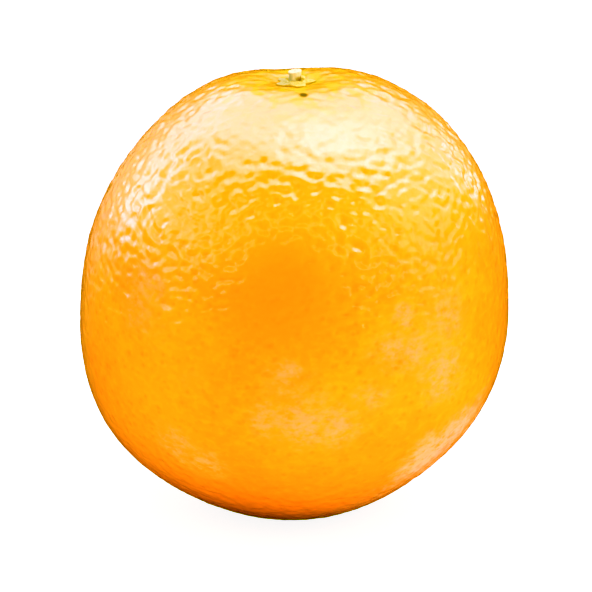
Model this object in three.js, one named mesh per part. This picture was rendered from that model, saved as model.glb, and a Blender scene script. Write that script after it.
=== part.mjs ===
// A whole sweet orange, standing on its blossom end with its stem button on top.
// Units are millimetres, +Z is up, and the origin is the centre of the foot, the small flat it rests on.
import * as THREE from "three";

// The fruit. Its level and upright sections are superellipses: a fullness of 2 is an ellipse, and more
// than 2 is squarer in the shoulders.
const BELLY_RADIUS = 38.9; // half of the width where the fruit is widest
const CROWN_RISE = 44.8; // from the belly up to the crown, before the dimple
const CROWN_FULLNESS = 2.27;
const BASE_DROP = 38.5; // from the belly down to the blossom end, before it settled flat
const BASE_FULLNESS = 2.0;
const FOOT_RADIUS = 11.0; // of the flat that the blossom end has settled to
const DIMPLE_DEPTH = 1.8; // the hollow in the crown that holds the stem button
const DIMPLE_RADIUS = 6.5;
const FRUIT_SIDES = 72; // facets around
const FRUIT_RINGS = 60; // facets from crown to foot

// Soft swellings, and flats where the height is below zero. Each lies towards a direction from the
// middle of the fruit, in degrees around from +X and up from level, and fades over its spread.
const SWELLINGS = [
  { around: 166, up: 47, height: -1.6, spread: 24 },
  { around: 191, up: -30, height: 1.4, spread: 24 },
  { around: 331, up: -48, height: -0.85, spread: 22 },
  { around: 42, up: 18, height: 0.95, spread: 22 },
  { around: 95, up: -18, height: -0.9, spread: 26 },
  { around: 93, up: 72, height: -1.2, spread: 11 },
];

// The stem button: a collar of five sepals around the stub of the stalk.
const SEPALS = [1.0, 0.84, 0.95, 0.78, 0.9]; // the reach of each, as a share of the longest
const CALYX_RADIUS = 4.4; // to the tip of the longest sepal
const CALYX_TURN = 288; // degrees around from +X that the longest sepal points to
const NOTCH_SHARE = 0.45; // how far out the notches between sepals lie, as a share of the collar's width
const CALYX_THICKNESS = 0.9; // beside the stub
const SEPAL_EDGE = 0.3; // thickness at the tips
const STUB_RADIUS = 1.25;
const STUB_WAIST = 1.15; // radius half-way up
const STUB_HEIGHT = 2.3;
const STUB_EDGE = 0.3; // the rounded edge of the cut
const STUB_SLANT = 0.12; // rise of the cut face for each millimetre across it
const SEPAL_SIDES = 12; // facets around each sepal
const SEPAL_STEPS = 4; // facets from the hole to the tips
const STUB_SIDES = 24;
const GAP = 0.3; // between pieces that lie against each other

const BELLY_HEIGHT = BASE_DROP * (1 - (FOOT_RADIUS / BELLY_RADIUS) ** BASE_FULLNESS) ** (1 / BASE_FULLNESS);
const CALYX_HOLE = STUB_RADIUS + GAP;

function toward(around, up) {
  const [turn, rise] = [around, up].map(THREE.MathUtils.degToRad);
  return new THREE.Vector3(
    Math.cos(turn) * Math.cos(rise),
    Math.sin(turn) * Math.cos(rise),
    Math.sin(rise),
  );
}

const swellings = SWELLINGS.map(({ around, up, height, spread }) => ({
  middle: toward(around, up),
  height,
  fade: 1 - Math.cos(THREE.MathUtils.degToRad(spread)),
}));

function swellingAt(direction) {
  return swellings.reduce((sum, { middle, height, fade }) => {
    return sum + height * Math.exp((direction.dot(middle) - 1) / fade);
  }, 0);
}

const dimpleAt = (radius) => DIMPLE_DEPTH * Math.exp(-((radius / DIMPLE_RADIUS) ** 2));

// The point of the peel that lies in a direction from the middle of the belly.
function peelPoint(direction) {
  const up = direction.z > 0;
  const fullness = up ? CROWN_FULLNESS : BASE_FULLNESS;
  const reach = up ? CROWN_RISE : BASE_DROP;
  const level = Math.hypot(direction.x, direction.y) / BELLY_RADIUS;
  const upright = Math.abs(direction.z) / reach;
  const distance = (level ** fullness + upright ** fullness) ** (-1 / fullness) + swellingAt(direction);
  const point = direction.clone().multiplyScalar(distance);
  point.z += BELLY_HEIGHT;
  if (up) point.z -= dimpleAt(Math.hypot(point.x, point.y));
  point.z = Math.max(point.z, 0);
  return point;
}

// Height of the crown near the stem, over a place on the level.
function crownHeight(x, y) {
  return peelPoint(new THREE.Vector3(x, y, CROWN_RISE).normalize()).z;
}

// Moves every vertex of a geometry to where place(vertex) says.
function reshape(geometry, place) {
  const position = geometry.getAttribute("position");
  const vertex = new THREE.Vector3();
  for (let i = 0; i < position.count; i++) {
    const moved = place(vertex.fromBufferAttribute(position, i));
    position.setXYZ(i, moved.x, moved.y, moved.z);
  }
  geometry.computeVertexNormals();
  return geometry;
}

function part(name, geometry, color, roughness) {
  const mesh = new THREE.Mesh(geometry, new THREE.MeshStandardMaterial({ color, roughness, metalness: 0 }));
  mesh.name = name;
  return mesh;
}

// The fruit, peel and flesh in one: a sphere's directions, pushed out to the peel.
function makeFruit() {
  const sphere = new THREE.SphereGeometry(1, FRUIT_SIDES, FRUIT_RINGS).rotateX(Math.PI / 2);
  const geometry = reshape(sphere, (vertex) => peelPoint(vertex.normalize()));
  return part("fruit", geometry, 0xff9f0a, 0.42);
}

// How far out the collar reaches at an angle, as a share of its width: full on a sepal, less in a notch.
function sepalShare(angle) {
  const turns = (angle / (2 * Math.PI) + 1) * SEPALS.length;
  const sepal = SEPALS[Math.round(turns) % SEPALS.length];
  const fullness = (1 + Math.cos(2 * Math.PI * turns)) / 2;
  return NOTCH_SHARE + (sepal - NOTCH_SHARE) * fullness;
}

// The calyx: a tapered collar turned about the stem, drawn in between the sepals and laid on the crown.
function makeCalyx() {
  const steps = Array.from({ length: SEPAL_STEPS + 1 }, (_, i) => i / SEPAL_STEPS);
  const radius = (share) => CALYX_HOLE + share * (CALYX_RADIUS - CALYX_HOLE);
  const thickness = (share) => THREE.MathUtils.lerp(CALYX_THICKNESS, SEPAL_EDGE, share);
  const underside = steps.map((share) => new THREE.Vector2(radius(share), 0));
  const upperside = steps.map((share) => new THREE.Vector2(radius(share), thickness(share))).reverse();
  const profile = [...underside, ...upperside, underside[0]];
  const collar = new THREE.LatheGeometry(profile, SEPALS.length * SEPAL_SIDES).rotateX(Math.PI / 2);
  const geometry = reshape(collar, (vertex) => {
    const angle = Math.atan2(vertex.y, vertex.x);
    const out = Math.hypot(vertex.x, vertex.y) - CALYX_HOLE;
    const reach = CALYX_HOLE + out * sepalShare(angle);
    const turned = angle + THREE.MathUtils.degToRad(CALYX_TURN);
    const [x, y] = [reach * Math.cos(turned), reach * Math.sin(turned)];
    return new THREE.Vector3(x, y, crownHeight(x, y) + GAP + vertex.z);
  });
  return part("calyx", geometry, 0x8c8443, 0.75);
}

// The stub of the stalk: slightly waisted, its edge rounded, cut a little on the slant.
function makeStemStub() {
  const profile = [
    new THREE.Vector2(0, 0),
    new THREE.Vector2(STUB_RADIUS, 0),
    new THREE.Vector2(STUB_WAIST, STUB_HEIGHT / 2),
    new THREE.Vector2(STUB_RADIUS, STUB_HEIGHT - STUB_EDGE),
    new THREE.Vector2(STUB_RADIUS - STUB_EDGE, STUB_HEIGHT),
    new THREE.Vector2(0, STUB_HEIGHT),
  ];
  const turned = new THREE.LatheGeometry(profile, STUB_SIDES).rotateX(Math.PI / 2);
  const geometry = reshape(turned, (vertex) => {
    vertex.z += (STUB_SLANT * vertex.x * vertex.z) / STUB_HEIGHT;
    return vertex;
  });
  const stub = part("stem_stub", geometry, 0xe2d8a4, 0.8);
  stub.position.z = crownHeight(0, 0) + GAP;
  return stub;
}

const orange = new THREE.Group();
orange.add(makeFruit(), makeCalyx(), makeStemStub());

export default orange;
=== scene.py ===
# A whole sweet orange that stands on its blossom end, with its stem button on top.
# Lengths are in metres, +Z is up, and the origin is the centre of the flat that the fruit rests on.
import math

import bmesh
import bpy
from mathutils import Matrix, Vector, noise
from mathutils.bvhtree import BVHTree


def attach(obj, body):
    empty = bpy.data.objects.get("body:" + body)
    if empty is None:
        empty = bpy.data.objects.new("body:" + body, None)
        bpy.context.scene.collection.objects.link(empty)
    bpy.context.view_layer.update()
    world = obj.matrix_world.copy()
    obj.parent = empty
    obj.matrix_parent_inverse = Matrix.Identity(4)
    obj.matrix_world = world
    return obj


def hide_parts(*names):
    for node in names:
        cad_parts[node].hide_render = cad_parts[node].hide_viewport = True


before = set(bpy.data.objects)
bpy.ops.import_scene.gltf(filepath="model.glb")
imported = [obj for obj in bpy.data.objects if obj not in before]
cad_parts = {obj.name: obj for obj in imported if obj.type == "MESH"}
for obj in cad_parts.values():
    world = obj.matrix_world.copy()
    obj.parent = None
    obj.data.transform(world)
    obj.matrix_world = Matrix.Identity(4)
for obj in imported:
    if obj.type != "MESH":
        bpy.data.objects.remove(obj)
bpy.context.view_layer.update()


# The camera: a long lens a little above the fruit, so that the crown and its stem button show.
VIEW_RISE = math.radians(19.0)
VIEW_DISTANCE = 1.15
VIEW_WIDTH = 0.1079  # of the picture, at the middle of the fruit
VIEW_MIDDLE = Vector((0.0002, 0.0, 0.0394))

camera = bpy.data.objects.new("camera", bpy.data.cameras.new("camera"))
bpy.context.scene.collection.objects.link(camera)
view_back = Vector((0.0, -math.cos(VIEW_RISE), math.sin(VIEW_RISE)))
camera.location = VIEW_MIDDLE + VIEW_DISTANCE * view_back
camera.rotation_euler = view_back.to_track_quat("Z", "Y").to_euler()
camera.data.angle = 2 * math.atan(VIEW_WIDTH / 2 / VIEW_DISTANCE)
bpy.context.scene.camera = camera


# The fruit, peel and flesh in one. The peel is waxy rind, pebbled over its oil glands and sunk in at
# their pores. It grew a little fuller in the shoulders, and has settled flat on its blossom end.
MM = 0.001
BELLY_RADIUS = 38.9 * MM  # half of the width where the fruit is widest
CROWN_RISE = 44.8 * MM  # from the belly up to the crown, before the dimple
CROWN_FULLNESS = 2.27  # 2 is an ellipse, more is squarer in the shoulders
BASE_DROP = 38.5 * MM  # from the belly down to the blossom end, before it settled flat
BASE_FULLNESS = 2.0
FOOT_RADIUS = 11.0 * MM
BELLY_HEIGHT = BASE_DROP * (1 - (FOOT_RADIUS / BELLY_RADIUS) ** BASE_FULLNESS) ** (1 / BASE_FULLNESS)
DIMPLE_DEPTH = 1.8 * MM  # the hollow in the crown that holds the stem button
DIMPLE_RADIUS = 6.5 * MM
FOOT_MIDDLE = (2.0 * MM, 1.5 * MM)  # the swellings carry the foot a little off the axis

# Soft swellings, and flats where the height is below zero: degrees around from +X and up from level,
# the height, and the degrees that it fades over.
SWELLINGS = (
    (166, 47, -1.6 * MM, 24),
    (191, -30, 1.4 * MM, 24),
    (331, -48, -0.85 * MM, 22),
    (42, 18, 0.95 * MM, 22),
    (95, -18, -0.9 * MM, 26),
    (93, 72, -1.2 * MM, 11),
)

PORE_SPACING = 1.75 * MM
PORE_DEPTH = 0.11 * MM
PORE_REACH = 0.44  # the radius of a pore, as a share of their spacing
PEBBLE_SPACING = 1.75 * MM
PEBBLE_HEIGHT = 0.55 * MM  # of the whole swing of the pebbling, which rarely reaches its ends
PEBBLE_MIDDLE = 0.35  # how high the middle of a pebble stands over the skin, as a share of that swing
PEBBLE_STRETCH = (1.0, 1.0, 1.6)  # the pebbles are that much wider than high
BEND_SPACING = 3.0 * MM
BEND_REACH = 1.2 * MM  # how far the pebbles wander off an even pattern

# How coarse the pebbling is. It sets in around the smooth patch in front and comes up to its full height
# on the shoulders. It keeps only a share of that in a calm stretch in front, on the crown and at the sides.
FINEST_SHARE = 0.35
SMOOTH_MIDDLE = (-1.5 * MM, -37.5 * MM, 51.5 * MM)
SMOOTH_EDGE = (4.0 * MM, 16.0 * MM)  # out from its middle
SHOULDER_EDGE = (35.0 * MM, 57.0 * MM)  # up from the foot
CALM_SHARE = 0.6
CALM_MIDDLE = (1.0 * MM, -25.0 * MM, 73.0 * MM)
CALM_STRETCH = (0.5, 1.0, 1.0)  # twice as wide as high
CALM_EDGE = (2.0 * MM, 9.0 * MM)
CROWN_SHARE = 0.55
CROWN_EDGE = (80.0 * MM, 72.0 * MM)  # down from the crown
SIDE_SHARE = 0.6
SIDE_EDGE = (37.0 * MM, 24.0 * MM)  # in from either side
FOOT_EDGE = (0.0, 1.2 * MM)  # up from where it rests, where there is no relief at all

CREASES = 9  # around the stem button
CREASE_START = (3.2 * MM, 4.6 * MM)  # out from the stem
CREASE_END = (10.0 * MM, 5.5 * MM)
CREASE_WANDER = 0.9  # radians, the whole swing of their bends
CREASE_SPACING = 3.0 * MM  # of those bends
CREASE_WIDTH = 0.55  # how far one fades sideways, where 1 is half-way to the next


class Wire:
    """One output of a node tree. Arithmetic on it adds the tree's Math and Vector Math nodes."""

    def __init__(self, tree, socket):
        self.tree = tree
        self.socket = socket

    @staticmethod
    def add(tree, kind, settings=None, values=None, output=0):
        """Adds any node: its settings, then what its sockets hold, by name or place. Gives one output."""
        node = tree.nodes.new(kind)
        for name, setting in (settings or {}).items():
            setattr(node, name, setting)
        sockets = [socket for socket in node.inputs if socket.enabled]
        for name, value in (values or {}).items():
            by_place = isinstance(name, int)
            socket = sockets[name] if by_place else next(s for s in sockets if s.name == name)
            if isinstance(value, Wire):
                tree.links.new(value.socket, socket)
            else:
                socket.default_value = value
        outputs = [socket for socket in node.outputs if socket.enabled]
        if isinstance(output, str):
            return Wire(tree, next(s for s in outputs if s.name == output))
        return Wire(tree, outputs[output]) if outputs else node

    def then(self, kind, settings=None, values=None, output=0):
        return Wire.add(self.tree, kind, settings, values, output)

    def is_vector(self):
        return self.socket.type in ("VECTOR", "RGBA")

    def math(self, operation, *others, output=0):
        """A Math node on this and other numbers, or a Vector Math node where this is a vector."""
        kind = "ShaderNodeVectorMath" if self.is_vector() else "ShaderNodeMath"
        return self.then(kind, {"operation": operation}, dict(enumerate((self, *others))), output)

    def __add__(self, other):
        return self.math("ADD", other)

    __radd__ = __add__

    def __sub__(self, other):
        return self.math("SUBTRACT", other)

    def __rsub__(self, other):
        return self * -1.0 + other

    def __mul__(self, other):
        if self.is_vector() and not isinstance(other, tuple):
            values = {"Vector": self, "Scale": other}
            return self.then("ShaderNodeVectorMath", {"operation": "SCALE"}, values)
        return self.math("MULTIPLY", other)

    __rmul__ = __mul__

    def __truediv__(self, other):
        return self.math("DIVIDE", other)

    def __rtruediv__(self, other):
        return self ** -1.0 * other

    def __pow__(self, other):
        return self.math("POWER", other)

    def __neg__(self):
        return self * -1.0

    def __abs__(self):
        return self.math("ABSOLUTE")

    def length(self):
        return self.math("LENGTH", output="Value")

    def dot(self, other):
        return self.math("DOT_PRODUCT", other, output="Value")

    def parts(self):
        """The x, y and z of a vector."""
        return [self.then("ShaderNodeSeparateXYZ", None, {"Vector": self}, axis) for axis in "XYZ"]

    def rise(self, low, high):
        """0 up to low, 1 from high on, and a smooth rise between them. It falls where low is above high."""
        if low >= high:
            return 1 - self.rise(high, low)
        values = {"Value": self, "From Min": low, "From Max": high}
        return self.then("ShaderNodeMapRange", {"interpolation_type": "SMOOTHSTEP"}, values)

    def blend(self, low, high):
        """From low to high as this goes from 0 to 1. Tuples of three are colours."""
        if isinstance(low, tuple):
            low = (*low, 1.0)
        if isinstance(high, tuple):
            high = (*high, 1.0)
        of_colours = isinstance(low, tuple) or isinstance(low, Wire) and low.socket.type == "RGBA"
        settings = {"data_type": "RGBA" if of_colours else "FLOAT"}
        return self.then("ShaderNodeMix", settings, {"Factor": self, "A": low, "B": high})

    def grain(self, spacing, detail=0.0, roughness=0.5, output=0):
        """Soft noise from 0 to 1 over this place, with lumps of about the spacing."""
        values = {"Vector": self, "Scale": 1 / spacing, "Detail": detail, "Roughness": roughness}
        return self.then("ShaderNodeTexNoise", None, values, output)


def toward(around, up):
    """The direction so many degrees around from +X and up from level."""
    turn, rise = math.radians(around), math.radians(up)
    return (math.cos(turn) * math.cos(rise), math.sin(turn) * math.cos(rise), math.sin(rise))


def pore_at(place):
    """1 in the middle of a pore, and 0 outside the pores."""
    cell = {"Vector": place, "Scale": 1 / PORE_SPACING, "Randomness": 0.9}
    near = place.then("ShaderNodeTexVoronoi", None, cell, "Distance")
    return near.rise(PORE_REACH, 0.0)


def pebble_at(place):
    """The pebbling between the pores, as a share of its height: low domes, unevenly swollen."""
    bend = place.grain(BEND_SPACING, output="Color") - (0.5, 0.5, 0.5)
    bent = (place + bend * BEND_REACH) * PEBBLE_STRETCH
    cell = {"Vector": bent, "Scale": 1 / PEBBLE_SPACING, "Smoothness": 0.2, "Randomness": 1.0}
    dome = place.then("ShaderNodeTexVoronoi", {"feature": "SMOOTH_F1"}, cell, "Distance")
    swollen = bent.grain(PEBBLE_SPACING * 1.1, detail=1.0, roughness=0.4) - 0.5
    return PEBBLE_MIDDLE - dome * dome + swollen


def crown_creases(place):
    """Short creases that run out from the stem button, 1 in the middle of a crease."""
    across, along, _ = place.parts()
    radius = (place * (1.0, 1.0, 0.0)).length()
    angle = along.math("ARCTAN2", across) + (place.grain(CREASE_SPACING) - 0.5) * CREASE_WANDER
    line = abs((angle * (CREASES / 2) + 0.6).math("SINE")).rise(CREASE_WIDTH, 0.0)
    return line * radius.rise(*CREASE_START) * radius.rise(*CREASE_END)


fruit_sizes = {
    "Facets along a side": 129,
    "Belly height": BELLY_HEIGHT,
    "Belly radius": BELLY_RADIUS,
    "Crown rise": CROWN_RISE,
    "Crown fullness": CROWN_FULLNESS,
    "Base drop": BASE_DROP,
    "Base fullness": BASE_FULLNESS,
    "Dimple depth": DIMPLE_DEPTH,
    "Dimple radius": DIMPLE_RADIUS,
    "Foot rounding": 0.6 * MM,
    "Pore depth": PORE_DEPTH,
    "Pebble height": PEBBLE_HEIGHT,
    "Crease depth": 0.13 * MM,
    "Scar depth": 0.5 * MM,
    "Scar radius": 1.6 * MM,
}
for number, (around, up, height, spread) in enumerate(SWELLINGS, 1):
    fruit_sizes[f"Swelling {number} direction"] = toward(around, up)
    fruit_sizes[f"Swelling {number} height"] = height
    fruit_sizes[f"Swelling {number} spread"] = 1 - math.cos(math.radians(spread))

fruit_tree = bpy.data.node_groups.new("fruit", "GeometryNodeTree")
fruit_tree.interface.new_socket("Start", in_out="INPUT", socket_type="NodeSocketGeometry")
fruit_tree.interface.new_socket("Fruit", in_out="OUTPUT", socket_type="NodeSocketGeometry")
socket_kinds = {int: "NodeSocketInt", float: "NodeSocketFloat", tuple: "NodeSocketVector"}
size_sockets = {
    name: fruit_tree.interface.new_socket(name, in_out="INPUT", socket_type=socket_kinds[type(value)])
    for name, value in fruit_sizes.items()
}
inlet = fruit_tree.nodes.new("NodeGroupInput")
size = {name: Wire(fruit_tree, inlet.outputs[name]) for name in fruit_sizes}

# A cube of even facets, each side mapped to its own sixth of the skin map, with a margin around it.
MAP_REACH = 0.48  # half of the side's width on the map, as a share of a sixth's

facets = size["Facets along a side"]
cube = Wire.add(
    fruit_tree,
    "GeometryNodeMeshCube",
    None,
    {"Size": (2.0, 2.0, 2.0), "Vertices X": facets, "Vertices Y": facets, "Vertices Z": facets},
    "Mesh",
)
spot = Wire.add(fruit_tree, "GeometryNodeInputPosition")
outward = Wire.add(fruit_tree, "GeometryNodeInputNormal", None, None, "Normal")
on_faces = {"domain": "FACE", "data_type": "FLOAT_VECTOR"}
side = outward.then("GeometryNodeFieldOnDomain", on_faces, {"Value": outward})
is_x, is_y, is_z = abs(side).parts()
x, y, z = spot.parts()
facing = side.dot((1.0, 1.0, 1.0))
map_across = (is_y + is_z * 2.0 + 0.5 + MAP_REACH * facing * (is_x * y + is_y * z + is_z * x)) / 3.0
map_along = (facing * 0.5 + 1.0 + MAP_REACH * (is_x * z + is_y * x + is_z * y)) / 2.0
skin_map = map_across.then("ShaderNodeCombineXYZ", None, {"X": map_across, "Y": map_along})
cube = cube.then(
    "GeometryNodeStoreNamedAttribute",
    {"data_type": "FLOAT2", "domain": "CORNER"},
    {"Geometry": cube, "Name": "OFBake", "Value": skin_map},
)

# The facets' directions, pushed out to the skin.
direction = (spot * (math.pi / 4)).math("TANGENT").math("NORMALIZE")
z = direction.parts()[2]
above = z.math("GREATER_THAN", 0.0)
fullness = above.blend(size["Base fullness"], size["Crown fullness"])
level = (direction * (1.0, 1.0, 0.0)).length() / size["Belly radius"]
upright = abs(z) / above.blend(size["Base drop"], size["Crown rise"])
distance = (level ** fullness + upright ** fullness) ** (-1.0 / fullness)
for number in range(1, len(SWELLINGS) + 1):
    swelling = f"Swelling {number}"
    nearness = (direction.dot(size[f"{swelling} direction"]) - 1.0) / size[f"{swelling} spread"]
    distance = distance + size[f"{swelling} height"] * nearness.math("EXPONENT")
x, y, z = (direction * distance).parts()
from_axis = (x * x + y * y).math("SQRT") / size["Dimple radius"]
dimple = size["Dimple depth"] * (-(from_axis * from_axis)).math("EXPONENT") * above
z = (z + size["Belly height"] - dimple).math("SMOOTH_MAX", 0.0, size["Foot rounding"])
skin = z.then("ShaderNodeCombineXYZ", None, {"X": x, "Y": y, "Z": z})
fruit = cube.then("GeometryNodeSetPosition", None, {"Geometry": cube, "Position": skin})

# The relief of the peel, which fades out where the fruit rests, and the small scar of the blossom.
from_scar = ((spot - (*FOOT_MIDDLE, 0.0)) * (1.0, 1.0, 0.25)).length() / size["Scar radius"]
from_smooth = (spot - SMOOTH_MIDDLE).length()
from_calm = ((spot - CALM_MIDDLE) * CALM_STRETCH).length()
sideways, _, height = spot.parts()
coarseness = from_smooth.rise(*SMOOTH_EDGE) * height.rise(*SHOULDER_EDGE)
coarseness = coarseness * (1 - FINEST_SHARE) + FINEST_SHARE
for outside, share in (
    (from_calm.rise(*CALM_EDGE), CALM_SHARE),
    (height.rise(*CROWN_EDGE), CROWN_SHARE),
    (abs(sideways).rise(*SIDE_EDGE), SIDE_SHARE),
):
    coarseness = coarseness * (outside * (1 - share) + share)
relief = (
    size["Pebble height"] * coarseness * pebble_at(spot)
    - size["Pore depth"] * pore_at(spot)
    - size["Crease depth"] * crown_creases(spot)
)
scar = size["Scar depth"] * (-(from_scar ** 4.0)).math("EXPONENT")
fruit = fruit.then(
    "GeometryNodeSetPosition",
    None,
    {"Geometry": fruit, "Offset": outward * (relief * height.rise(*FOOT_EDGE) - scar)},
)

# The look of the peel: deep orange in the pores, darker with painted shade towards the foot and in front,
# and paler and duller in patches that are partly wax bloom and partly a painted reflection of the table.
PEEL_ORANGE = (0.87, 0.195, 0.026)
PEEL_DEEP = (0.82, 0.140, 0.022)
FRONT_SHADE_DEEP = (0.86, 0.170, 0.020)
PEEL_GOLD = (0.88, 0.257, 0.034)
BLOOM_AND_REFLECTION_PEACH = (0.92, 0.235, 0.128)
BASE_SHADE_ORANGE = (0.84, 0.105, 0.020)
CROWN_GOLD = (0.89, 0.285, 0.035)
STEM_YELLOW = (0.82, 0.34, 0.04)
SHADED_GREEN_GOLD = (0.42, 0.34, 0.015)
SCAR_BROWN = (0.16, 0.075, 0.03)
SPECK_BROWN = (0.09, 0.042, 0.006)

# Where each colour comes in: heights above the foot, or distances from the stem or from a middle.
BASE_SHADE_EDGE = (34.0 * MM, 2.0 * MM)  # down to the foot, where painted shade darkens the peel
CROWN_START = (50.0 * MM, 67.0 * MM)  # up to the crown
FRONT_SHADE_EDGE = (15.0 * MM, 3.0 * MM)  # in to the middle of the smooth patch, where painted shade deepens the orange
STEM_EDGE = (15.0 * MM, 6.0 * MM)  # in to the stem
STEM_TINT_AND_SHADE_EDGE = (22.0 * MM, 5.0 * MM)
SPECK_MIDDLE = (1.5 * MM, -9.4 * MM, 80.1 * MM)  # a small dark scar on the crown
SPECK_STRETCH = (1.0, 0.85, 0.3)
SPECK_EDGE = (1.15 * MM, 0.45 * MM)
SCAR_EDGE = (2.4 * MM, 1.2 * MM)
BACK_START = (-4.0 * MM, 12.0 * MM)  # back to where the scattered bloom is
BACK_SPACING = 15.0 * MM  # of that bloom
WANDER_SPACING = 6.0 * MM  # of the bends in the outlines of all the pale patches
WANDER_REACH = 6.5 * MM

# The middle of each pale patch and its radius, in millimetres, and how thick it is there. Each is partly
# wax bloom and partly a painted reflection of the bright table.
BLOOM_AND_REFLECTION_PATCHES = (
    (-4.5, -37.9, 29.3, 4.5, 0.7),
    (1.5, -38.1, 28.6, 5.5, 0.8),
    (7.3, -37.0, 27.8, 4.8, 0.7),
    (-0.7, -39.0, 37.8, 3.4, 0.75),
    (0.5, -38.7, 33.5, 6.5, 0.45),
    (13.5, -36.3, 32.7, 3.6, 0.5),
    (18.8, -33.4, 47.0, 2.3, 0.8),
    (17.0, -34.8, 41.3, 4.2, 0.6),
    (21.3, -32.5, 40.5, 4.8, 0.65),
    (26.6, -28.2, 34.5, 5.5, 0.65),
    (26.7, -27.4, 45.0, 6.0, 0.45),
    (24.1, -22.7, 17.3, 6.5, 1.1),
    (29.0, -19.5, 20.3, 6.0, 1.0),
    (33.0, -15.5, 22.5, 4.5, 0.4),
    (32.0, -10.0, 17.5, 6.0, 0.6),
    (25.5, -14.0, 11.5, 5.5, 0.7),
    (-21.1, -28.6, 21.1, 5.0, 0.6),
    (-16.1, -30.0, 18.1, 5.0, 0.65),
    (-26.3, -27.2, 50.8, 5.5, 0.7),
    (-28.0, -26.0, 46.5, 5.0, 0.6),
    (-18.4, -34.2, 35.2, 3.5, 0.22),
)

peel = bpy.data.materials.new("peel")
peel.use_nodes = True
peel.node_tree.nodes.clear()
place = Wire.add(peel.node_tree, "ShaderNodeTexCoord", None, None, "Object")
_, y, z = place.parts()
radius = (place * (1.0, 1.0, 0.0)).length()
pore = pore_at(place)
fine = place.grain(0.45 * MM, detail=2.0, roughness=0.6)
freckles = place.grain(1.3 * MM, detail=1.0)
clumps = place.grain(3.2 * MM, detail=2.0, roughness=0.6)
blotches = (place * (1.0, 1.0, 1.6)).grain(2.1 * MM, detail=1.0)
streaks = (place * (1.0, 1.0, 1.7)).grain(1.0 * MM, detail=1.0)

# The pale patches: soft speckled ones on the side in front, partly wax bloom and partly a painted
# reflection of the bright table, and more bloom scattered behind.
wandering = place.grain(WANDER_SPACING, 2.0, output="Color") - (0.5, 0.5, 0.5)
ragged = place + wandering * WANDER_REACH
bloom_and_reflection = y.rise(*BACK_START) * ragged.grain(BACK_SPACING, 1.0).rise(0.50, 0.75)
for patch_x, patch_y, patch_z, reach, thickness in BLOOM_AND_REFLECTION_PATCHES:
    nearness = (ragged - (patch_x * MM, patch_y * MM, patch_z * MM)).length() / (reach * MM)
    bloom_and_reflection = bloom_and_reflection.math("MAXIMUM", nearness.rise(1.6, 0.0) * thickness)
speckle = 0.5 * blotches + 0.35 * streaks + 0.15 * place.grain(0.5 * MM)
bloom_and_reflection = (bloom_and_reflection + (speckle - 0.5) * (5.5 * bloom_and_reflection)).rise(0.05, 1.3)

# The skin itself, in broad clouds of gold with small blotches and deeper at the pores. Painted shade
# darkens it down to the foot and in the middle in front.
gold = 0.7 * place.grain(17.0 * MM, detail=2.0).rise(0.32, 0.68)
gold = gold + 0.4 * freckles.rise(0.50, 0.72) + 0.4 * blotches.rise(0.48, 0.7)
colour = gold.blend(PEEL_ORANGE, PEEL_GOLD)
colour = (0.42 * pore + 0.25 * clumps.rise(0.5, 0.3)).blend(colour, PEEL_DEEP)
# Painted shade: the peel turns a darker orange down towards the foot.
colour = (0.8 * z.rise(*BASE_SHADE_EDGE)).blend(colour, BASE_SHADE_ORANGE)
crown = z.rise(*CROWN_START)
colour = crown.blend(colour, CROWN_GOLD)
# Painted shade: a deeper orange in the middle of the side that faces the dim front.
in_front_shade = (place - SMOOTH_MIDDLE).length().rise(*FRONT_SHADE_EDGE)
colour = (0.8 * in_front_shade).blend(colour, FRONT_SHADE_DEEP)
colour = (radius.rise(*STEM_EDGE) * crown).blend(colour, STEM_YELLOW)
# The pale peach of the patches: partly wax bloom, partly a painted reflection of the table.
colour = (0.95 * bloom_and_reflection ** 0.6).blend(colour, BLOOM_AND_REFLECTION_PEACH)

# The marks on it: spots of green-gold around the stem, darkened with painted shade of the dimple, the small
# dark speck, and the scar of the blossom.
stem_tint_and_shade = radius.rise(*STEM_TINT_AND_SHADE_EDGE) * crown * place.grain(2.6 * MM, 1.0).rise(0.45, 0.65)
colour = (0.8 * stem_tint_and_shade).blend(colour, SHADED_GREEN_GOLD)
from_speck = ((place - SPECK_MIDDLE) * SPECK_STRETCH).length() + 0.6 * MM * (freckles - 0.5)
at_speck = from_speck.rise(*SPECK_EDGE)
colour = at_speck.blend(colour, SPECK_BROWN)
at_scar = (place - (*FOOT_MIDDLE, 0.0)).length().rise(*SCAR_EDGE)
colour = at_scar.blend(colour, SCAR_BROWN)

# The wax shines, but not where bloom, a mark or the dry skin by the stem breaks it.
FINE_BUMP = 0.008 * MM
PORE_BUMP = 0.05 * MM
FRECKLE_BUMP = 0.07 * MM
FRECKLE_START = (20.0 * MM, 60.0 * MM)  # up from the foot
roughness = 0.50 + 0.08 * fine + 0.2 * bloom_and_reflection + 0.3 * at_scar + 0.4 * at_speck
coat = (1 - 0.8 * bloom_and_reflection) * (1 - at_speck) * (1 - 0.75 * stem_tint_and_shade)
bump_height = fine * FINE_BUMP - pore * PORE_BUMP + freckles * z.rise(*FRECKLE_START) * FRECKLE_BUMP
bump = place.then("ShaderNodeBump", None, {"Height": bump_height, "Distance": 1.0, "Strength": 1.0})
surface = place.then(
    "ShaderNodeBsdfPrincipled",
    None,
    {"Base Color": colour, "Roughness": roughness, "IOR": 1.45, "Normal": bump, "Coat Weight": coat,
     "Coat Roughness": 0.12, "Coat IOR": 1.4},
)
place.then("ShaderNodeOutputMaterial", None, {"Surface": surface})

fruit = fruit.then("GeometryNodeSetShadeSmooth", None, {"Geometry": fruit})
fruit = fruit.then("GeometryNodeRealizeInstances", None, {"Geometry": fruit})
fruit = fruit.then("GeometryNodeSetMaterial", None, {"Geometry": fruit, "Material": peel})
fruit.then("NodeGroupOutput", None, {"Fruit": fruit})


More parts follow.
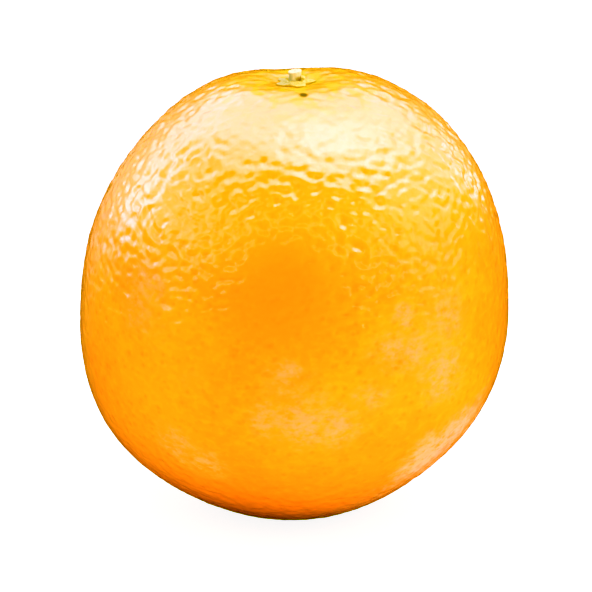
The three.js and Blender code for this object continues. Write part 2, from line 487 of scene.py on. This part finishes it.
def grown(name, tree, sockets, sizes):
    """A plain mesh object of what a Geometry Nodes tree makes with these sizes."""
    seed = bpy.data.objects.new(name, bpy.data.meshes.new(name))
    bpy.context.scene.collection.objects.link(seed)
    modifier = seed.modifiers.new(name, "NODES")
    modifier.node_group = tree
    for title, value in sizes.items():
        modifier[sockets[title].identifier] = value
    evaluated = seed.evaluated_get(bpy.context.evaluated_depsgraph_get())
    made = bpy.data.meshes.new_from_object(evaluated)
    seed.modifiers.remove(modifier)
    seed.data = made
    return seed


orange_fruit = grown("orange_fruit", fruit_tree, size_sockets, fruit_sizes)
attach(orange_fruit, "root")
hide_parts("fruit")


# The calyx, the dried star of five sepals that the flower left round the stalk. It is thin leathery skin,
# brown and curled at its edges, thick at the ring beside the stalk, and grown onto the crown.
SEPALS = (1.0, 0.84, 0.95, 0.78, 0.9)  # the reach of each, as a share of the longest
CALYX_RADIUS = 4.4 * MM  # to the tip of the longest sepal
CALYX_TURN = math.radians(288)  # the way the longest sepal points
CALYX_HOLE = 1.15 * MM  # closed onto the stub, which is a little wider
NOTCH_SHARE = 0.45  # how far out the notches between sepals lie, as a share of the collar's width
CALYX_SEAT = 0.2 * MM  # how far the underside is grown into the peel
CALYX_THICKNESS = 0.75 * MM  # beside the stalk
SEPAL_THICKNESS = 0.16 * MM  # at the tips
SEPAL_CURL = 0.14 * MM
BED_SPAN = 0.8 * MM  # it bridges dents of the peel that are smaller than this
RING_RADIUS = 1.85 * MM
RING_HEIGHT, RING_WIDTH = 0.24 * MM, 0.34 * MM
GROOVE_RADIUS = CALYX_HOLE + 0.25 * MM  # between the ring and the stalk
GROOVE_DEPTH, GROOVE_WIDTH = 0.22 * MM, 0.22 * MM
RIB_HEIGHT, RIB_WIDTH = 0.11 * MM, 0.28 * MM  # of the middle vein of each sepal
WRINKLE_HEIGHT = 0.05 * MM
WRINKLES = 31  # all the way around
PUCKER_HEIGHT = 0.07 * MM
LEAST_THICKNESS = 0.06 * MM
TORN_COARSE, TORN_FINE = 0.10, 0.05  # how far the outline is torn, as shares of the width
EDGE_WIDTH = 0.9 * MM  # of the browned edge
SEPAL_COLUMNS = 36  # facets around each sepal
SEPAL_ROWS = 18  # facets from the hole to the tips
PROBE_HEIGHT = 0.2  # well above the fruit

skin = BVHTree.FromPolygons(
    [vertex.co for vertex in orange_fruit.data.vertices],
    [face.vertices for face in orange_fruit.data.polygons],
)


def crown_height(x, y, around=0.0):
    """The height of the peel here, or its mean over a small cross this far around."""
    spots = [(x, y)]
    if around:
        spots = [(x + around, y), (x - around, y), (x, y + around), (x, y - around)]
    heights = [skin.ray_cast(Vector((*spot, PROBE_HEIGHT)), Vector((0, 0, -1)))[0].z for spot in spots]
    return sum(heights) / len(heights)


def wander(x, y, spacing, seed):
    """Smooth noise from -1 to 1 over the crown."""
    return noise.noise(Vector((x / spacing, y / spacing, seed)))


def lofted(name, rings, tube):
    """A closed mesh object through rings of points.

    A tube's last ring joins its first. Anything else is closed at both ends.
    """
    form = bmesh.new()
    rows = [[form.verts.new(point) for point in ring] for ring in rings]
    pairs = list(zip(rows, rows[1:]))
    if tube:
        pairs.append((rows[-1], rows[0]))
    else:
        for row in (rows[0], rows[-1]):
            pole = form.verts.new(sum((vertex.co for vertex in row), Vector()) / len(row))
            for one, other in zip(row, row[1:] + row[:1]):
                form.faces.new((pole, one, other))
    for low, high in pairs:
        for a, b, c, d in zip(low, low[1:] + low[:1], high[1:] + high[:1], high):
            form.faces.new((a, b, c, d))
    bmesh.ops.recalc_face_normals(form, faces=form.faces)
    for face in form.faces:
        face.smooth = True
    mesh = bpy.data.meshes.new(name)
    form.to_mesh(mesh)
    form.free()
    made = bpy.data.objects.new(name, mesh)
    bpy.context.scene.collection.objects.link(made)
    return made


def sepal_reach(angle):
    """How far out the star reaches this way, with the slightly torn outline of dried sepals."""
    turns = ((angle - CALYX_TURN) / (2 * math.pi) + 1) * len(SEPALS)
    longest = SEPALS[round(turns) % len(SEPALS)]
    share = NOTCH_SHARE + (longest - NOTCH_SHARE) * (1 + math.cos(2 * math.pi * turns)) / 2
    torn = TORN_COARSE * noise.noise(Vector((2.6 * math.cos(angle), 2.6 * math.sin(angle), 3.0)))
    torn += TORN_FINE * noise.noise(Vector((9.0 * math.cos(angle), 9.0 * math.sin(angle), 8.0)))
    return CALYX_HOLE + (CALYX_RADIUS - CALYX_HOLE) * min(1.0, share * (0.97 + torn))


underside, upperside = [], []
columns = SEPAL_COLUMNS * len(SEPALS)
for row in range(SEPAL_ROWS + 1):
    share = (row / SEPAL_ROWS) ** 0.85
    under_ring, upper_ring = [], []
    for column in range(columns):
        angle = 2 * math.pi * column / columns
        edge = sepal_reach(angle)
        reach = CALYX_HOLE + (edge - CALYX_HOLE) * share
        x, y = reach * math.cos(angle), reach * math.sin(angle)
        out = (reach - CALYX_HOLE) / (CALYX_RADIUS - CALYX_HOLE)
        turns = (angle - CALYX_TURN) / (2 * math.pi) * len(SEPALS)
        from_rib = abs(turns - round(turns)) * 2 * math.pi / len(SEPALS) * reach
        seat = crown_height(x, y)
        bed = crown_height(x, y, BED_SPAN)
        curl = SEPAL_CURL * (0.6 + 0.8 * wander(x, y, 2.3 * MM, 5.0)) * share ** 4
        thickness = SEPAL_THICKNESS + (CALYX_THICKNESS - SEPAL_THICKNESS) * (1 - out) ** 1.6
        thickness *= 1 - 0.75 * share ** 14
        ring = RING_HEIGHT * math.exp(-(((reach - RING_RADIUS) / RING_WIDTH) ** 2))
        ring -= GROOVE_DEPTH * math.exp(-(((reach - GROOVE_RADIUS) / GROOVE_WIDTH) ** 2))
        rib = RIB_HEIGHT * math.exp(-((from_rib / RIB_WIDTH) ** 2)) * (1 - out) * out * 4
        wrinkle = WRINKLE_HEIGHT * math.sin(angle * WRINKLES + 5 * wander(x, y, 1.1 * MM, 2.0))
        wrinkle += PUCKER_HEIGHT * wander(x, y, 0.55 * MM, 7.0)
        wrinkle *= math.sin(math.pi * share)
        top = max(bed, seat) + thickness + ring + rib + wrinkle + curl
        bottom = seat - CALYX_SEAT * (1 - share ** 3) + curl
        under_ring.append((x, y, bottom))
        upper_ring.append((x, y, max(top, bottom + LEAST_THICKNESS)))
    underside.append(under_ring)
    upperside.append(upper_ring)
calyx = lofted("dried_calyx", underside + upperside[::-1], tube=True)

# How near each point is to the torn edge.
near_edge = calyx.data.attributes.new("near_edge", "FLOAT", "POINT")
for number, vertex in enumerate(calyx.data.vertices):
    reach, angle = math.hypot(vertex.co.x, vertex.co.y), math.atan2(vertex.co.y, vertex.co.x)
    near_edge.data[number].value = max(0.0, 1 - (sepal_reach(angle) - reach) / EDGE_WIDTH)

SEPAL_KHAKI = (0.88, 0.60, 0.24)
SEPAL_OLIVE = (0.66, 0.46, 0.16)
SEPAL_SHADE_GREY_GREEN = (0.44, 0.39, 0.22)
EDGE_BROWN = (0.50, 0.29, 0.10)
SEPAL_SHADE_SIDE = (-0.4 * MM, 1.8 * MM)  # out to the left, where painted shade greys the sepals
OLIVE_RING = (1.95 * MM, 1.5 * MM)  # in to the ring beside the stalk
BROWN_START = (1.0, 1.3)  # of how near the edge is, with the mottling on top
MOTTLE_BUMP = 0.10 * MM
FIBRE_BUMP = 0.03 * MM

sepal_skin = bpy.data.materials.new("dried sepal skin")
sepal_skin.use_nodes = True
sepal_skin.node_tree.nodes.clear()
place = Wire.add(sepal_skin.node_tree, "ShaderNodeTexCoord", None, None, "Object")
x = place.parts()[0]
radius = (place * (1.0, 1.0, 0.0)).length()
edge = place.then("ShaderNodeAttribute", {"attribute_name": "near_edge"}, None, "Fac")
mottle = place.grain(0.7 * MM, detail=3.0, roughness=0.6)
fibre = (place * (1.0, 1.0, 0.35)).grain(0.18 * MM, detail=2.0)
colour = mottle.rise(0.35, 0.68).blend(SEPAL_OLIVE, SEPAL_KHAKI)
# Painted shade: the sepals turn grey-green on the left of the stalk.
colour = ((-x).rise(*SEPAL_SHADE_SIDE) * 0.7).blend(colour, SEPAL_SHADE_GREY_GREEN)
colour = (radius.rise(*OLIVE_RING) * 0.75).blend(colour, SEPAL_OLIVE)
colour = (0.7 * (edge + 0.5 * mottle).rise(*BROWN_START)).blend(colour, EDGE_BROWN)
roughness = 0.62 + 0.25 * mottle
bump_height = mottle * MOTTLE_BUMP + fibre * FIBRE_BUMP
bump = place.then("ShaderNodeBump", None, {"Height": bump_height, "Distance": 1.0, "Strength": 0.8})
surface = place.then(
    "ShaderNodeBsdfPrincipled",
    None,
    {"Base Color": colour, "Roughness": roughness, "IOR": 1.45, "Specular IOR Level": 0.35, "Normal": bump},
)
place.then("ShaderNodeOutputMaterial", None, {"Surface": surface})
calyx.data.materials.append(sepal_skin)
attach(calyx, "root")
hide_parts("calyx")


# The stub of the stalk, dry wood cut off a little on the slant. Its bark is ribbed, greyed on its left by
# painted shade and browned at its right foot by a painted shadow. Its cut face is pale, slightly hollow and
# ringed. It grows out of the middle of the calyx.
STUB_RADIUS = 1.25 * MM
# Its form, as shares of that radius: the body, less the waist half-way up, with the collar at its foot,
# the coarse and the fine ribs of the bark, and the gnarls.
STUB_BODY = 0.965
STUB_WAIST = 0.07
STUB_COLLAR = 0.10
COARSE_RIB = 0.022
FINE_RIB = 0.014
GNARL = 0.05
COLLAR_HEIGHT = 0.16  # as a share of the stub's
WEAR = 0.03 * MM  # of the cut face, which isn't quite flat
STUB_TOP = 82.37 * MM  # the middle of the cut face
STUB_SLANT = 0.12  # rise of the cut face for each metre across it
STUB_COLUMNS = 72
STUB_SEAT = 0.35 * MM  # how far it goes down into the peel
CUT_EDGE = (0.30 * MM, 0.08 * MM)  # up to the cut face, where the bark turns into bare wood

stub_foot = crown_height(0.0, 0.0) - STUB_SEAT
# Up the bark, over the worn edge and in across the cut face: height share, radius share.
STUB_PROFILE = [(share / 20, 1.0) for share in range(19)]
STUB_PROFILE += [(0.935, 0.995), (0.965, 0.97), (0.985, 0.93), (0.994, 0.87), (0.993, 0.80)]
STUB_PROFILE += [(0.985, 0.70), (0.972, 0.58), (0.962, 0.44), (0.958, 0.30), (0.962, 0.16), (0.975, 0.06)]
rings = []
for up, wide in STUB_PROFILE:
    ring = []
    for column in range(STUB_COLUMNS):
        angle = 2 * math.pi * column / STUB_COLUMNS
        across, along = math.cos(angle), math.sin(angle)
        ribs = COARSE_RIB * math.sin(9 * angle + 1.3) + FINE_RIB * math.sin(17 * angle + 4 * up)
        gnarl = GNARL * noise.noise(Vector((1.7 * across, 1.7 * along, 2.6 * up)))
        collar = STUB_COLLAR * math.exp(-((up / COLLAR_HEIGHT) ** 2))
        waist = STUB_WAIST * math.sin(math.pi * min(up, 1.0))
        reach = STUB_RADIUS * wide * (STUB_BODY - waist + collar + (ribs + gnarl) * wide)
        x, y = reach * across, reach * along
        worn = WEAR * noise.noise(Vector((3.1 * x / MM, 3.1 * y / MM, 11.0))) * up
        height = stub_foot + (STUB_TOP - stub_foot) * up + STUB_SLANT * x * up + worn
        ring.append((x, y, height))
    rings.append(ring)
stub = lofted("stem_stub_wood", rings, tube=False)
cut_share = stub.data.attributes.new("cut_share", "FLOAT", "POINT")
for number, vertex in enumerate(stub.data.vertices):
    below_cut = STUB_TOP + STUB_SLANT * vertex.co.x - vertex.co.z
    share = (CUT_EDGE[0] - below_cut) / (CUT_EDGE[0] - CUT_EDGE[1])
    cut_share.data[number].value = max(0.0, min(1.0, share))

BARK_CREAM = (0.84, 0.68, 0.42)
BARK_SHADE_GREY_GREEN = (0.38, 0.36, 0.30)
PITH_AND_SHADOW_BROWN = (0.24, 0.10, 0.025)
CUT_CREAM = (0.90, 0.76, 0.50)
CUT_TAN = (0.68, 0.54, 0.36)
BARK_SHADOW_FOOT = (81.8 * MM, 80.9 * MM)  # down to the calyx, where the painted shadow lies
BARK_SHADE_SIDE = (0.1 * MM, 0.9 * MM)  # out to the left, where painted shade greys the bark
BARK_SHADOW_SIDE = (-0.1 * MM, 0.6 * MM)  # out to the right, where a painted shadow browns the foot
PITH_EDGE = (0.28 * MM, 0.12 * MM)  # in to the middle of the cut face
WOOD_RING_SPACING = 0.3 * MM  # on the cut face
STREAK_BUMP = 0.07 * MM
WOOD_RING_BUMP = 0.02 * MM

stalk_wood = bpy.data.materials.new("dry stalk wood")
stalk_wood.use_nodes = True
stalk_wood.node_tree.nodes.clear()
place = Wire.add(stalk_wood.node_tree, "ShaderNodeTexCoord", None, None, "Object")
x, _, z = place.parts()
radius = (place * (1.0, 1.0, 0.0)).length()
cut = place.then("ShaderNodeAttribute", {"attribute_name": "cut_share"}, None, "Fac")
streaks = (place * (1.0, 1.0, 0.25)).grain(0.22 * MM, detail=2.0, roughness=0.6)
patches = place.grain(0.9 * MM, detail=2.0)
turns_out = (radius + 0.12 * MM * patches) * (2 * math.pi / WOOD_RING_SPACING)
rings_seen = turns_out.math("SINE") * 0.5 + 0.5
low = z.rise(*BARK_SHADOW_FOOT)
toward_shaded_side = -x + 0.8 * MM * (patches - 0.5)
toward_shadow_side = x + 0.9 * MM * (patches - 0.5)
colour = (0.6 * streaks.rise(0.35, 0.7)).blend(BARK_CREAM, CUT_TAN)
# Painted shade: grey-green on the left side of the stub.
colour = (toward_shaded_side.rise(*BARK_SHADE_SIDE) * 0.85).blend(colour, BARK_SHADE_GREY_GREEN)
# Painted shadow: brown at the stub's right foot, by the calyx.
colour = (toward_shadow_side.rise(*BARK_SHADOW_SIDE) * low).blend(colour, PITH_AND_SHADOW_BROWN)
face = (0.35 * rings_seen + 0.35 * streaks.rise(0.45, 0.75)).blend(CUT_CREAM, CUT_TAN)
face = (radius.rise(*PITH_EDGE) * 0.6).blend(face, PITH_AND_SHADOW_BROWN)
colour = cut.blend(colour, face)
roughness = 0.7 + 0.2 * patches
bump_height = streaks * STREAK_BUMP + rings_seen * cut * WOOD_RING_BUMP
bump = place.then("ShaderNodeBump", None, {"Height": bump_height, "Distance": 1.0, "Strength": 0.8})
surface = place.then(
    "ShaderNodeBsdfPrincipled",
    None,
    {"Base Color": colour, "Roughness": roughness, "IOR": 1.45, "Specular IOR Level": 0.3, "Normal": bump},
)
place.then("ShaderNodeOutputMaterial", None, {"Surface": surface})
stub.data.materials.append(stalk_wood)
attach(stub, "root")
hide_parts("stem_stub")


# The stage: a white table in white surroundings, under many soft lights that lie all around. The widest
# hangs over and behind the fruit, and ends in a soft edge in front.
FLOOR_HALF = 6.0
SHADE_RADIUS = 29.0 * MM  # of the part of the table that the fruit keeps dark
SHADE_EDGE = (1.25 * SHADE_RADIUS, 0.8 * SHADE_RADIUS)
SHADE_MIDDLE = (-5.0 * MM, 0.0, 0.0)

floor_mesh = bpy.data.meshes.new("floor")
corners = [(-1, -1), (1, -1), (1, 1), (-1, 1)]
floor_mesh.from_pydata([(FLOOR_HALF * x, FLOOR_HALF * y, 0.0) for x, y in corners], [], [(0, 1, 2, 3)])
floor = bpy.data.objects.new("floor", floor_mesh)
bpy.context.scene.collection.objects.link(floor)
floor.visible_glossy = False

paper = bpy.data.materials.new("paper")
paper.use_nodes = True
paper.node_tree.nodes.clear()
sheet = Wire.add(
    paper.node_tree,
    "ShaderNodeBsdfPrincipled",
    None,
    {
        "Base Color": (0.25, 0.25, 0.25, 1.0),
        "Roughness": 0.9,
        "Specular IOR Level": 0.0,
        "Emission Color": (1.0, 0.99, 0.95, 1.0),
        "Emission Strength": 0.9,
    },
)
# Light comes up through the sheet, as from a lit table, but not where the fruit itself keeps it dark.
shade_values = {"Base Color": (0.1, 0.06, 0.02, 1.0), "Roughness": 0.9}
shade = sheet.then("ShaderNodeBsdfPrincipled", None, shade_values)
clear = sheet.then("ShaderNodeBsdfTransparent")
from_foot = (sheet.then("ShaderNodeTexCoord", None, None, "Object") - SHADE_MIDDLE).length()
in_shade = from_foot.rise(*SHADE_EDGE)
below = sheet.then("ShaderNodeMixShader", None, {0: in_shade, 1: clear, 2: shade})
seen = sheet.then("ShaderNodeLightPath", None, None, "Is Camera Ray")
sheet = sheet.then("ShaderNodeMixShader", None, {0: seen, 1: below, 2: sheet})
sheet.then("ShaderNodeOutputMaterial", None, {"Surface": sheet})
floor_mesh.materials.append(paper)


# The soft lights: the direction each lies in, its spread and its strength. The gloss mirrors the light
# overhead, the lights beside it, the dim ones behind and low down, and a thin strip in front.
OVERHEAD_LIGHTS = (
    ((0.15, 0.15, 0.98), 0.30, 9.8),
    ((-0.35, 0.20, 0.91), 0.30, 5.6),
    ((0.55, 0.20, 0.81), 0.30, 6.9),
    ((0.00, 0.60, 0.80), 0.33, 3.2),
    ((-0.51, 0.56, 0.66), 0.33, 4.6),
    ((0.51, 0.56, 0.66), 0.33, 3.4),
    ((0.00, -0.30, 0.95), 0.30, 7.8),
    ((-0.55, -0.25, 0.80), 0.30, 4.9),
    ((0.59, -0.25, 0.77), 0.30, 5.2),
    ((-0.35, -0.35, 0.87), 0.25, 1.7),
    ((0.35, -0.35, 0.87), 0.25, 4.4),
)
# Where these and the next fade out, as shares of a look's length: how far forward, and how far down.
OVERHEAD_FRONT = (-0.46, -0.16)
SIDE_FOOT = (0.10, 0.24)
SIDE_LIGHTS = (
    ((-0.85, 0.40, 0.35), 0.30, 5.7),
    ((0.85, 0.40, 0.35), 0.30, 2.1),
    ((-0.94, -0.15, 0.30), 0.30, 3.8),
    ((0.95, -0.10, 0.30), 0.30, 2.1),
    ((-0.81, -0.51, 0.30), 0.35, 2.3),
    ((0.81, -0.51, 0.30), 0.35, 1.4),
)
BACK_LIGHTS = (
    ((-0.27, 0.84, 0.47), 0.15, 2.4),
    ((0.29, 0.84, 0.46), 0.15, 2.1),
    ((-0.53, 0.79, 0.32), 0.25, 0.30),
    ((-0.60, 0.80, -0.05), 0.22, 0.75),
    ((-0.32, 0.94, -0.02), 0.15, 0.45),
    ((0.32, 0.94, -0.02), 0.15, 0.25),
    ((0.60, 0.80, -0.08), 0.22, 0.15),
    ((0.64, 0.75, 0.14), 0.13, 3.2),
    ((0.36, 0.69, -0.63), 0.17, 0.7),
    ((0.62, 0.75, 0.22), 0.15, 0.42),
    ((0.45, 0.83, 0.33), 0.20, 0.3),
    ((-0.87, 0.48, 0.14), 0.20, 3.8),
    ((-0.97, -0.20, 0.02), 0.22, 1.5),
    ((0.98, -0.10, 0.02), 0.22, 1.2),
)
# The matt peel is lit by wider ones of its own, which lie all around too.
MATT_LIGHTS = (
    ((0.00, 0.00, 1.00), 0.80, 1.3),
    ((-1.00, 0.00, 0.10), 0.80, 1.0),
    ((1.00, 0.00, 0.10), 0.80, 1.45),
    ((0.00, 0.96, 0.29), 0.80, 1.35),
    ((-0.70, -0.60, 0.40), 0.70, 0.3),
    ((0.70, -0.60, 0.40), 0.70, 0.8),
    ((0.00, 0.00, -1.00), 0.80, 1.15),
    ((0.00, -0.80, -0.60), 0.70, 0.8),
    ((-0.80, 0.00, -0.60), 0.70, 0.7),
    ((0.80, 0.00, -0.60), 0.70, 1.6),
    ((0.00, 0.80, -0.60), 0.80, 0.75),
    ((-0.60, -0.50, -0.62), 0.50, 1.15),
    ((0.60, -0.50, -0.62), 0.50, 1.45),
    ((0.00, -0.95, -0.30), 0.50, 0.85),
)
# The strip, and where it comes in and fades out, as shares of a look's length again.
STRIP_STRENGTH = 2.8
STRIP_FRONT = (-0.78, -0.70)
STRIP_BACK = (-0.56, -0.64)
STRIP_FOOT = (0.15, 0.30)
COOL_WHITE = (1.1, 1.0, 1.3)  # of what the gloss mirrors
# How blue is shown for each amount of it. Weak blue is held back, which gives the peel its full orange.
BLUE_CURVE = ((0.08, 0.002), (0.16, 0.007), (0.25, 0.065), (0.35, 0.20), (0.5, 0.45), (0.7, 0.745))

world = bpy.data.worlds.new("surroundings")
bpy.context.scene.world = world
world.use_nodes = True
world.cycles.sampling_method = "NONE"
world.node_tree.nodes.clear()
gaze = Wire.add(world.node_tree, "ShaderNodeTexCoord", None, None, "Generated")


def shining(lights):
    """How bright these lights are this way, all together."""
    brightness = 0.0
    for direction, spread, strength in lights:
        away = (gaze - direction).length() / spread
        brightness = (-(away ** 2.0)).math("EXPONENT") * strength + brightness
    return brightness


_, along, up = gaze.parts()
in_gloss = shining(OVERHEAD_LIGHTS) * along.rise(*OVERHEAD_FRONT)
in_gloss = in_gloss + shining(SIDE_LIGHTS) * up.rise(*SIDE_FOOT) + shining(BACK_LIGHTS)
in_strip = along.rise(*STRIP_FRONT) * along.rise(*STRIP_BACK) * up.rise(*STRIP_FOOT)
in_gloss = in_gloss + STRIP_STRENGTH * in_strip
on_matt = shining(MATT_LIGHTS)
seen = gaze.then("ShaderNodeLightPath", None, None, "Is Camera Ray")
mirrored = gaze.then("ShaderNodeLightPath", None, None, "Is Glossy Ray")
strength = seen.blend(mirrored.blend(on_matt, in_gloss), 1.0)
tint = mirrored.blend((1.0, 1.0, 1.0), COOL_WHITE)
backdrop = gaze.then("ShaderNodeBackground", None, {"Color": tint, "Strength": strength})
gaze.then("ShaderNodeOutputWorld", None, {"Surface": backdrop})

view = bpy.context.scene.view_settings
view.view_transform = "Standard"
view.use_curve_mapping = True
blue = view.curve_mapping.curves[2]
for amount, shown in BLUE_CURVE:
    blue.points.new(amount, shown).handle_type = "AUTO_CLAMPED"
view.curve_mapping.update()
